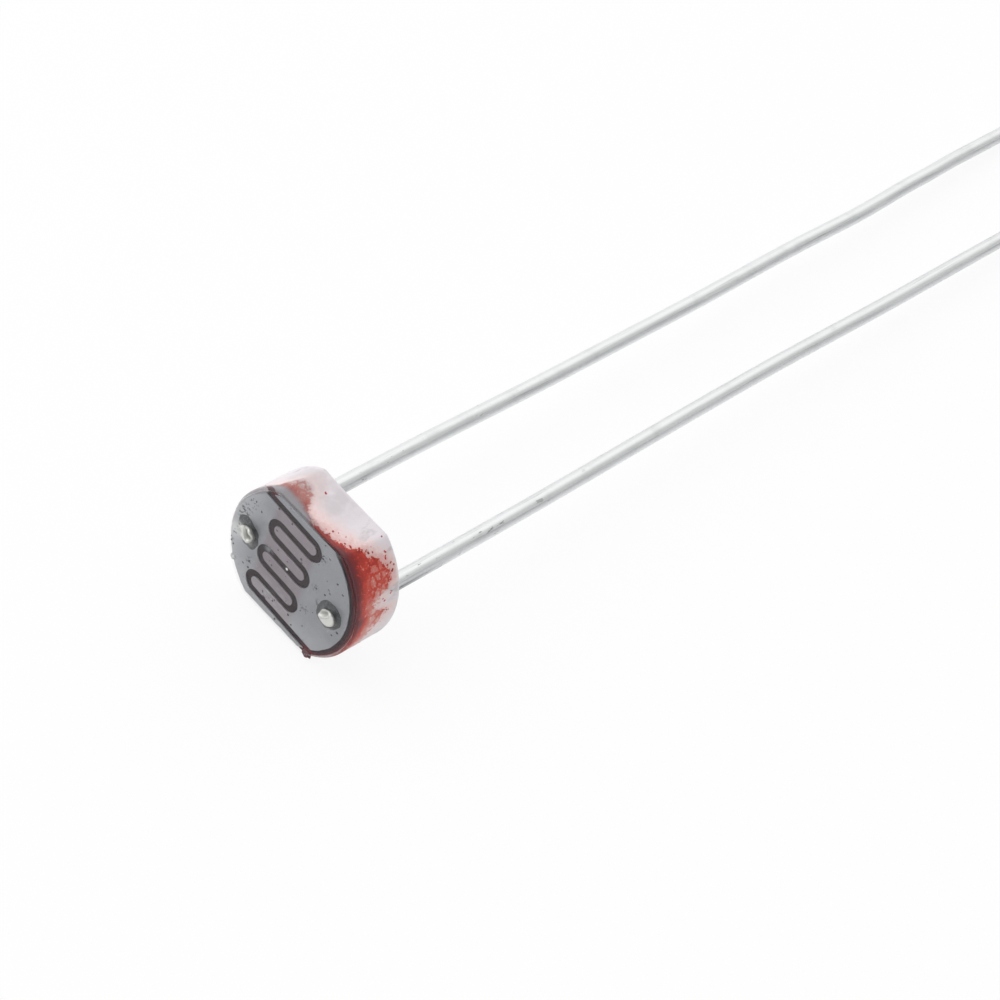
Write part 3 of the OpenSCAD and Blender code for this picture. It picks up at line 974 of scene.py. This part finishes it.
class PHOTORESISTOR_OT_leads(bpy.types.Operator):
    """Build the two wire leads with their cut and dimpled front ends."""

    bl_idname = "photoresistor.leads"
    bl_label = "Wire leads"

    AROUND = 48
    RING_STEP = 0.3
    CAP_RINGS = 14
    EDGE_STEPS = 4
    # Dimple in the front end: offset to the right and up, angle of its length, radius, taper, depth and rim
    DIMPLES = {-1: (0.075, 0.06, -51, 0.105, 1.6, 0.13, 0.035), 1: (-0.09, 0.075, 49, 0.1, 0.0, 0.05, 0.03)}
    # Slope of the cut front end to the right and up
    CUTS = {-1: (0.1, 0.1), 1: (0.05, -0.05)}

    def execute(self, context):
        s, c, lie = setup(context)
        tin = wire_finish(s, c, lie)
        for side, name in SIDES.items():
            mesh = self.wire(s, side).mesh("wire_" + name, lie)
            place_piece("wire_" + name, mesh, tin, "wire", "lead_" + name)
        return {"FINISHED"}

    def cut_height(
        self, s, side, x, y, narrow=0.5, rim_at=1.1, rim_width=0.3, much=0.014, fine=9, apart=3,
    ):
        """Height of the cut front end, with its slope and dimple."""
        off_x, off_y, along, wide, taper, deep, rim = self.DIMPLES[side]
        slope_x, slope_y = self.CUTS[side]
        here = Matrix.Rotation(math.radians(-along), 2) @ Vector((x - off_x, y - off_y))
        away = math.hypot(here.x * narrow, here.y * (1 - taper * here.x)) / wide
        bowl = rim * math.exp(-((away - rim_at) / rim_width) ** 2) - deep * max(0, 1 - away ** 2)
        rough = much * noise.noise(Vector((x * fine, y * fine, side * apart)))
        return s.stub_top - CUT_DROP + slope_x * x + slope_y * y + bowl + rough

    def wire(self, s, side):
        lead_r = s.lead_d / 2
        axis = lead_axis(s, side)
        flat_r = lead_r - s.stub_edge_r
        around = turns(self.AROUND)
        shell = Shell()

        def cap(r, down=0.0):
            """A ring of the front end, at most as high as the flat of the cut."""
            ring = []
            for a in around:
                top_r = min(r, flat_r)
                top = self.cut_height(s, side, top_r * math.cos(a), top_r * math.sin(a))
                ring.append(pinched(s, side, r * math.cos(a), r * math.sin(a), top - down))
            return shell.ring(ring)

        rings = [cap(flat_r * k / self.CAP_RINGS) for k in range(1, self.CAP_RINGS + 1)]
        shell.fan(rings[0][::-1], pinched(s, side, 0, 0, self.cut_height(s, side, 0, 0)))
        for b in quarter(self.EDGE_STEPS)[1:]:
            rings.append(cap(flat_r + s.stub_edge_r * math.sin(b), s.stub_edge_r * (1 - math.cos(b))))
        tip = -s.body_t - s.lead_length
        count = round(-tip / self.RING_STEP)
        for k in range(count + 1):
            z = PINCH_START + (tip + s.tip_bevel - PINCH_START) * k / count
            x = axis + self.drift(DRIFT[side], -z - s.body_t - s.lead_straight)
            rings.append(shell.ring([(*p, z) for p in circle(x, lead_r, self.AROUND)]))
        end = axis + DRIFT[side][-1][1]
        rings.append(shell.ring([(*p, tip) for p in circle(end, lead_r - s.tip_bevel, self.AROUND)]))
        shell.skin(*rings)
        shell.fan(rings[-1], (end, 0, tip))
        return shell

    @staticmethod
    def drift(points, along):
        """Offset at a distance past the straight length, eased from one point to the next."""
        if along <= 0:
            return points[0][1]
        for (a, x), (b, y) in zip(points, points[1:]):
            if along <= b:
                return x + (y - x) * (1 - math.cos(math.pi * (along - a) / (b - a))) / 2
        return points[-1][1]


class PHOTORESISTOR_OT_joints(bpy.types.Operator):
    """Build the collars of dark paste that join the wires to the electrodes."""

    bl_idname = "photoresistor.joints"
    bl_label = "Paste joints"

    AROUND = 64
    STEPS = 10
    BITE = 0.01
    # How far a collar is smeared off the wire, to the right and up, the angle of its length,
    # half its length and half its width
    SMEARS = {-1: (-0.1, -0.1, -54, 0.52, 0.42), 1: (-0.13, -0.05, 60, 0.5, 0.45)}

    def execute(self, context):
        s, c, lie = setup(context)
        paste = paste_finish(c, lie)
        for side, name in SIDES.items():
            mesh = self.collar(s, side).mesh("paste_" + name, lie)
            place_piece("paste_" + name, mesh, paste, "paste", "joint_" + name)
        return {"FINISHED"}

    def collar(self, s, side, fine=1.8, apart=5, outwards=0.14, upwards=0.02):
        """A ring of paste, smeared to one side, that climbs the wire."""
        off_x, off_y, along, long, wide = self.SMEARS[side]
        axis = Vector((lead_axis(s, side), 0))
        feet, rises = [], []
        for a in turns(self.AROUND):
            uneven = noise.noise(Vector((math.cos(a) * fine, math.sin(a) * fine, side * apart)))
            turn = a - math.radians(along)
            reach = (1 + outwards * uneven) / math.hypot(math.cos(turn) / long, math.sin(turn) / wide)
            feet.append(axis + Vector((off_x + reach * math.cos(a), off_y + reach * math.sin(a))))
            rises.append(s.collar_h + upwards * uneven)
        bite = [(s.lead_d / 2 - self.BITE) * p for p in circle(0, 1, self.AROUND)]
        necks = [Vector(pinched(s, side, *p, s.film_top + rise)[:2]) for p, rise in zip(bite, rises)]
        shell = Shell()
        rings = [
            shell.ring([
                (*foot.lerp(neck, math.sin(b)), s.film_top + rise * (1 - math.cos(b)))
                for foot, neck, rise in zip(feet, necks, rises)
            ])
            for b in quarter(self.STEPS)
        ]
        for ring in ([axis + p for p in bite], feet):
            rings.append(shell.ring([(*p, s.film_top - self.BITE) for p in ring]))
        shell.skin(*rings, rings[0])
        return shell


class PHOTORESISTOR_OT_coat(bpy.types.Operator):
    """Build the clear coat over the face, with its rises round the wires and a drip at its rim."""

    bl_idname = "photoresistor.coat"
    bl_label = "Clear coat"

    AROUND = 256
    EDGE_STEPS = 6
    HOLE_POINTS = 48
    BITE = 0.01
    # Heights of the coat's underside and of the foot of its rim
    BOTTOM, FOOT = -0.02, 0.01
    # The drip at the rim: place on the face, width and how far it stands out
    DRIP = (-2.0, -1.36, 0.13, 0.05)
    # Dark lump of the light-sensitive layer at the lower corner: place and width
    CLOT = (1.38, -2.03, 0.17)
    # Unevenness of the rim and of the top: how much, how fine, and the slice of noise
    UNEVEN_RIM = (0.02, 2.1, 1.0)
    UNEVEN_TOP = (0.006, 1.1, 8.0)
    # Points of the top: rows inside the rim, and rings on a rise
    ROWS = (0.06, 0.14, 0.24)
    RISE_RINGS = 8
    RIM_DIGITS = 5
    LUMP_SLICE = Vector((2.0, 5.0, 1.0))

    def execute(self, context):
        s, c, lie = setup(context)
        mesh = self.coat(s).mesh("resin_coat", lie)
        place_piece("resin_coat", mesh, resin_finish(lie), "resin", "clear_coat")
        for name, finish, dark, dust, spot, slot in (
            ("resin_lump", "cloudy_resin", c.electrode, c.dust, self.DRIP[:3], "resin"),
            ("layer_lump", "dried_layer", c.clot, c.clot_dust, self.CLOT, "light_layer"),
        ):
            dusty = mottled_finish(finish, lie, dark, dust, (14.0, 3.0, 0.6), (0.35, 0.6), 0.3, 0.2)
            place_piece(name, self.lump(name, *spot, lie), dusty, slot)
        return {"FINISHED"}

    @staticmethod
    def uneven(form, x, y):
        much, fine, layer = form
        return much * noise.noise(Vector((x * fine, y * fine, layer)))

    def spread(self, p):
        """How far the rim stands out at a point of the outline."""
        x, y, width, out = self.DRIP
        return out * math.exp(-((p - Vector((x, y))).length / width) ** 2) + self.uneven(self.UNEVEN_RIM, p.x, p.y)

    def height(self, s, x, y):
        """Height of the coat's top, with its rises round the wires."""
        lead_r = s.lead_d / 2
        z = s.coat_top + self.uneven(self.UNEVEN_TOP, x, y)
        for side in SIDES:
            away = math.hypot(x - lead_axis(s, side), y)
            climb = (s.rise_d / 2 - max(lead_r, away)) / (s.rise_d / 2 - lead_r)
            if climb > 0:
                z += s.rise_h * (1 - math.sqrt(max(0, 1 - climb * climb)))
        return z

    def top_points(self, s, outline, left=-2.2, low=-1.8, step=0.14, across=32, up=26, reach=2.0):
        """Points inside the coat's rim: rows along it, rings on the rises, and a grid between them."""
        lead_r = s.lead_d / 2
        points = [p - n * (s.coat_edge_r + gap) for gap in self.ROWS for p, n in outline[::2]]
        for side in SIDES:
            for k in range(1, self.RISE_RINGS + 1):
                r = lead_r + (s.rise_d / 2 - lead_r) * k / self.RISE_RINGS
                points += circle(lead_axis(s, side), r, self.HOLE_POINTS)
        grid = [Vector((left + step * i, low + step * j)) for i in range(across) for j in range(up)]
        return points + [
            p for p in grid
            if p.length < reach
            and min(math.hypot(p.x - lead_axis(s, side), p.y) for side in SIDES) > s.rise_d / 2
        ]

    def coat(self, s):
        inset = s.front_edge_r
        outline = rounded_outline(
            s.body_d / 2 - inset, s.body_flats / 2 - inset, s.corner_r - inset, self.AROUND
        )
        profile = [(0, self.BOTTOM), (0, self.FOOT)] + [
            (s.coat_edge_r * (1 - math.cos(a)), s.coat_top - s.coat_edge_r * (1 - math.sin(a)))
            for a in quarter(self.EDGE_STEPS)
        ]
        shell = Shell()
        rings = []
        for back, z in profile:
            grow = z > self.BOTTOM
            rings.append(shell.ring([(*(p + n * (self.spread(p) * grow - back)), z) for p, n in outline]))
        shell.skin(*rings)
        holes = [circle(lead_axis(s, side), s.lead_d / 2 - self.BITE, self.HOLE_POINTS) for side in SIDES]
        border = shell.flat(rings[-1])

        def key(x, y):
            return round(x, self.RIM_DIGITS), round(y, self.RIM_DIGITS)

        rim = {key(*p) for p in border}
        shell.sheet(
            *flat_sheet(border, holes, self.top_points(s, outline)),
            lambda x, y: s.coat_top if key(x, y) in rim else self.height(s, x, y),
        )
        shell.sheet(*flat_sheet(shell.flat(rings[0]), holes), lambda x, y: self.BOTTOM)
        for hole in holes:
            upper = shell.ring([(*p, self.height(s, *p)) for p in hole])
            shell.skin(upper, shell.ring([(*p, self.BOTTOM) for p in hole]))
        return shell

    def lump(
        self, name, x, y, wide, lie, much=0.3, fine=1.6, height=0.02, narrower=0.8, thick=0.09, faces=4,
    ):
        """A rough lump at the rim."""
        bm = bmesh.new()
        bmesh.ops.create_icosphere(bm, subdivisions=faces, radius=1.0)
        for v in bm.verts:
            v.co *= 1 + much * noise.noise(v.co * fine + self.LUMP_SLICE)
        form = Matrix.Diagonal((wide, wide * narrower, thick, 1.0))
        bm.transform(lie @ Matrix.Translation((x, y, height)) @ form)
        return finished_mesh(bm, name, sharp=60)


class PHOTORESISTOR_OT_studio(bpy.types.Operator):
    """Set up the floor, the soft light and the camera."""

    bl_idname = "photoresistor.studio"
    bl_label = "Studio"

    SENSOR = 36.0
    # Where the light from the left gives way to the light from the right
    CHANGE = (-0.12, 0.36)

    def execute(self, context):
        scene = context.scene
        studio = scene.photoresistor_studio
        scene.view_settings.view_transform = "Standard"

        half = studio.floor_size / 2
        mesh = bpy.data.meshes.new("floor")
        corners = [(-half, -half, 0), (half, -half, 0), (half, half, 0), (-half, half, 0)]
        mesh.from_pydata(corners, [], [(0, 1, 2, 3)])
        mesh.materials.append(self.floor_finish(studio))
        self.add(scene, "floor", mesh)

        lamp = bpy.data.lights.new("softbox", "AREA")
        lamp.shape = "SQUARE"
        lamp.size = studio.box_size
        lamp.energy = studio.box_power
        box = self.add(scene, "softbox", lamp)
        box.location = studio.box_place
        box.rotation_euler = (-Vector(studio.box_place)).to_track_quat("-Z", "Y").to_euler()

        self.surround(scene, studio)

        view = bpy.data.cameras.new("camera")
        view.lens = studio.lens
        view.sensor_width = self.SENSOR
        view.clip_start = MM
        camera = self.add(scene, "camera", view)
        camera.location = studio.camera_place
        camera.rotation_euler = studio.camera_turn
        scene.camera = camera
        return {"FINISHED"}

    @staticmethod
    def add(scene, name, data):
        made = bpy.data.objects.new(name, data)
        scene.collection.objects.link(made)
        return made

    def surround(self, scene, studio):
        """Soft light from all round, dimmer from the right, that shows white to the camera."""
        scene.world = bpy.data.worlds.new("surround")
        sky = Socket(emptied(scene.world))
        towards = sky.node("ShaderNodeTexCoord", {}, {}, "Generated")
        right = sky.node("ShaderNodeSeparateXYZ", {}, {"Vector": towards}).smooth(*self.CHANGE)
        white, bright, dim = (
            sky.node("ShaderNodeBackground", {}, {"Color": WHITE, "Strength": strength})
            for strength in (1.0, studio.left, studio.right)
        )
        light = sky.node("ShaderNodeMixShader", {}, {0: right, 1: bright, 2: dim})
        seen = sky.node("ShaderNodeLightPath", {}, {}, "Is Camera Ray")
        shown = sky.node("ShaderNodeMixShader", {}, {0: seen, 1: light, 2: white})
        sky.node("ShaderNodeOutputWorld", {}, {"Surface": shown})

    @staticmethod
    def floor_finish(studio):
        """White floor that shows white to the eye, and keeps a share of the shadow."""
        floor = bpy.data.materials.new("floor")
        f = Socket(emptied(floor))
        path = f.node("ShaderNodeLightPath", {}, {}, "Is Camera Ray")
        seen = path.most(path.sibling("Is Transmission Ray"))
        matt = f.node("ShaderNodeBsdfDiffuse", {}, {"Color": (*studio.floor, 1.0)})
        white = f.node("ShaderNodeEmission", {}, {"Color": (*studio.floor, 1.0), "Strength": 1.0})
        both = f.node("ShaderNodeMixShader", {}, {0: seen * (1 - studio.shadow), 1: matt, 2: white})
        f.node("ShaderNodeOutputMaterial", {}, {"Surface": both})
        return floor


class PHOTORESISTOR_PT_panel(bpy.types.Panel):
    """Sizes, colours and pieces of the photoresistor."""

    bl_idname = "PHOTORESISTOR_PT_panel"
    bl_label = "Photoresistor"
    bl_space_type = "VIEW_3D"
    bl_region_type = "UI"
    bl_category = "Photoresistor"

    def draw(self, context):
        for piece in PIECES:
            self.layout.operator(piece.bl_idname)
        for group in (getattr(context.scene, name) for name in GROUPS):
            box = self.layout.box()
            for name in group.__annotations__:
                box.prop(group, name)


GROUPS = {
    "photoresistor_sizes": PhotoresistorSizes,
    "photoresistor_colours": PhotoresistorColours,
    "photoresistor_studio": PhotoresistorStudio,
}
PIECES = (
    PHOTORESISTOR_OT_ceramic,
    PHOTORESISTOR_OT_films,
    PHOTORESISTOR_OT_leads,
    PHOTORESISTOR_OT_joints,
    PHOTORESISTOR_OT_coat,
    PHOTORESISTOR_OT_studio,
)
CLASSES = (*GROUPS.values(), *PIECES, PHOTORESISTOR_PT_panel)


def register():
    for kind in CLASSES:
        bpy.utils.register_class(kind)
    for name, kind in GROUPS.items():
        setattr(bpy.types.Scene, name, PointerProperty(type=kind))


def unregister():
    for name in GROUPS:
        delattr(bpy.types.Scene, name)
    for kind in reversed(CLASSES):
        bpy.utils.unregister_class(kind)


def main():
    register()
    bpy.ops.photoresistor.ceramic()
    bpy.ops.photoresistor.films()
    bpy.ops.photoresistor.leads()
    bpy.ops.photoresistor.joints()
    bpy.ops.photoresistor.coat()
    bpy.ops.photoresistor.studio()


if __name__ == "__main__":
    main()
